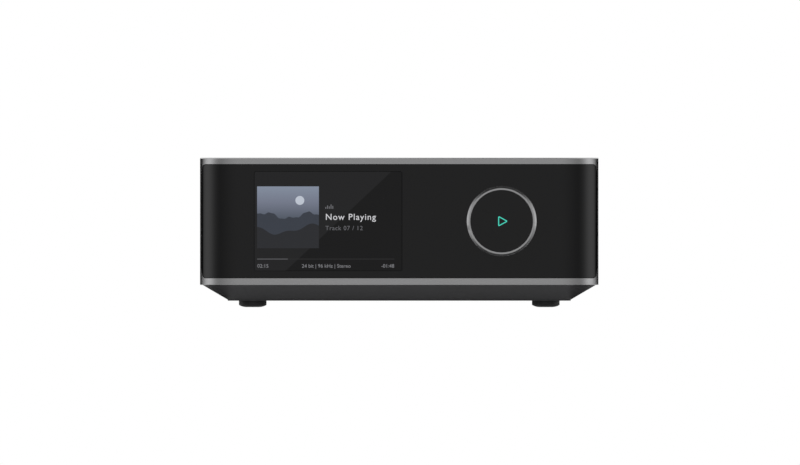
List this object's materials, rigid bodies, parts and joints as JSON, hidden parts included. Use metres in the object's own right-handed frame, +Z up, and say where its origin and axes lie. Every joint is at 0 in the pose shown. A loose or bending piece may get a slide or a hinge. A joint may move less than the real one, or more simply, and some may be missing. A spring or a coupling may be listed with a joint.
{
  "type": "network music streamer",
  "caption": "Square aluminium network music streamer with a wrap-round gloss front, colour display, turning volume ring with a play button, tapered base and rear sockets.",
  "frame": {"origin": "on the surface that the feet stand on, under the middle of the whole outline", "axes": "+X right and +Y to the rear as the user faces the front, +Z up"},
  "size_m": [0.205, 0.2218, 0.0769],
  "materials": {
    "anodised_aluminium": "anodised grey, fine bead blast",
    "ring_aluminium": "turned and anodised",
    "base_plastic": "moulded, fine grain",
    "foot_rubber": "matt",
    "gloss_plastic": "polished black",
    "cover_glass": "polished, black behind",
    "light_guide": "clear, lit blue-green",
    "clear_plastic": "clear",
    "panel_plastic": "moulded, fine grain",
    "socket_plastic": "moulded",
    "white_plastic": "moulded",
    "red_plastic": "moulded",
    "gold_plate": "polished",
    "nickel_plate": "plated",
    "zinc_steel": "zinc plated",
    "black_steel": "black oxide",
    "board_laminate": "green solder mask",
    "foam": "closed cell",
    "display_cell": "polarised",
    "diffuser": "opal",
    "chip_epoxy": "moulded",
    "capacitor_sleeve": "shrink sleeve",
    "sink_aluminium": "black anodised",
    "ferrite": "sintered",
    "ribbon_film": "laminated film",
    "insulation_film": "sheet",
    "fuse_glass": "clear",
    "contact_gold": "plated"
  },
  "bodies": {
    "casing": {"housing": "anodised_aluminium", "base": "base_plastic", "base_screws": "zinc_steel", "feet": "foot_rubber", "fascia": "gloss_plastic", "display_glass": "cover_glass", "display_gasket": "foam", "display_panel": "display_cell", "display_tray": "zinc_steel", "display_backlight": "diffuser", "display_bracket": "black_steel", "front_chassis": "zinc_steel", "chassis_screws": "zinc_steel", "encoder_housing": "socket_plastic", "knob_board": "board_laminate", "button_guide": "socket_plastic", "play_switch": "socket_plastic", "symbol_lights": "diffuser", "display_ribbon": "ribbon_film", "knob_ribbon": "ribbon_film", "ribbon_connectors": "white_plastic", "main_board": "board_laminate", "power_board": "board_laminate", "board_screws": "zinc_steel", "processor_shield": "nickel_plate", "heat_sink": "sink_aluminium", "wireless_module": "nickel_plate", "antennas": "board_laminate", "converter_chips": "chip_epoxy", "audio_capacitors": "capacitor_sleeve", "insulation_sheet": "insulation_film", "transformer": "ferrite", "mains_capacitor": "capacitor_sleeve", "mains_choke": "ferrite", "fuse": "fuse_glass", "regulator_sink": "sink_aluminium", "rear_panel": "panel_plastic", "rear_panel_screws": "black_steel", "phono_blocks": "socket_plastic", "phono_sleeves": "gold_plate", "white_inserts": "white_plastic", "red_inserts": "red_plastic", "optical_housing": "socket_plastic", "hdmi_shell": "nickel_plate", "usb_shell": "nickel_plate", "socket_tongues": "socket_plastic", "network_socket": "socket_plastic", "network_contacts": "contact_gold", "trigger_jack": "socket_plastic", "mains_inlet": "socket_plastic", "inlet_pins": "nickel_plate"},
    "ring": {"volume_ring": "ring_aluminium", "encoder_rotor": "white_plastic"},
    "play_button": {"play_cap": "gloss_plastic", "play_symbol": "light_guide", "play_stem": "clear_plastic", "switch_plunger": "white_plastic"},
    "optical_in_flap": {"optical_in_shutter": "socket_plastic"},
    "optical_out_flap": {"optical_out_shutter": "socket_plastic"}
  },
  "joints": [
    {"name": "volume_turn", "type": "hinge", "parent": "casing", "child": "ring", "pos_m": [0.0527, -0.11, 0.0442], "axis": [0, 1, 0], "continuous": true},
    {"name": "play_press", "type": "slide", "parent": "casing", "child": "play_button", "axis": [0, 1, 0], "range_m": [0, 0.0005], "stiffness_N_per_m": 1500, "springref_m": -0.0006},
    {"name": "optical_in_shutter_turn", "type": "hinge", "parent": "casing", "child": "optical_in_flap", "pos_m": [0.0225, 0.1012, 0.02835], "axis": [-1, 0, 0], "range_deg": [0, 80], "stiffness_Nm_per_rad": 0.0002, "springref_deg": -22.92},
    {"name": "optical_out_shutter_turn", "type": "hinge", "parent": "casing", "child": "optical_out_flap", "pos_m": [0.0225, 0.1012, 0.04185], "axis": [-1, 0, 0], "range_deg": [0, 80], "stiffness_Nm_per_rad": 0.0002, "springref_deg": -22.92}
  ]
}
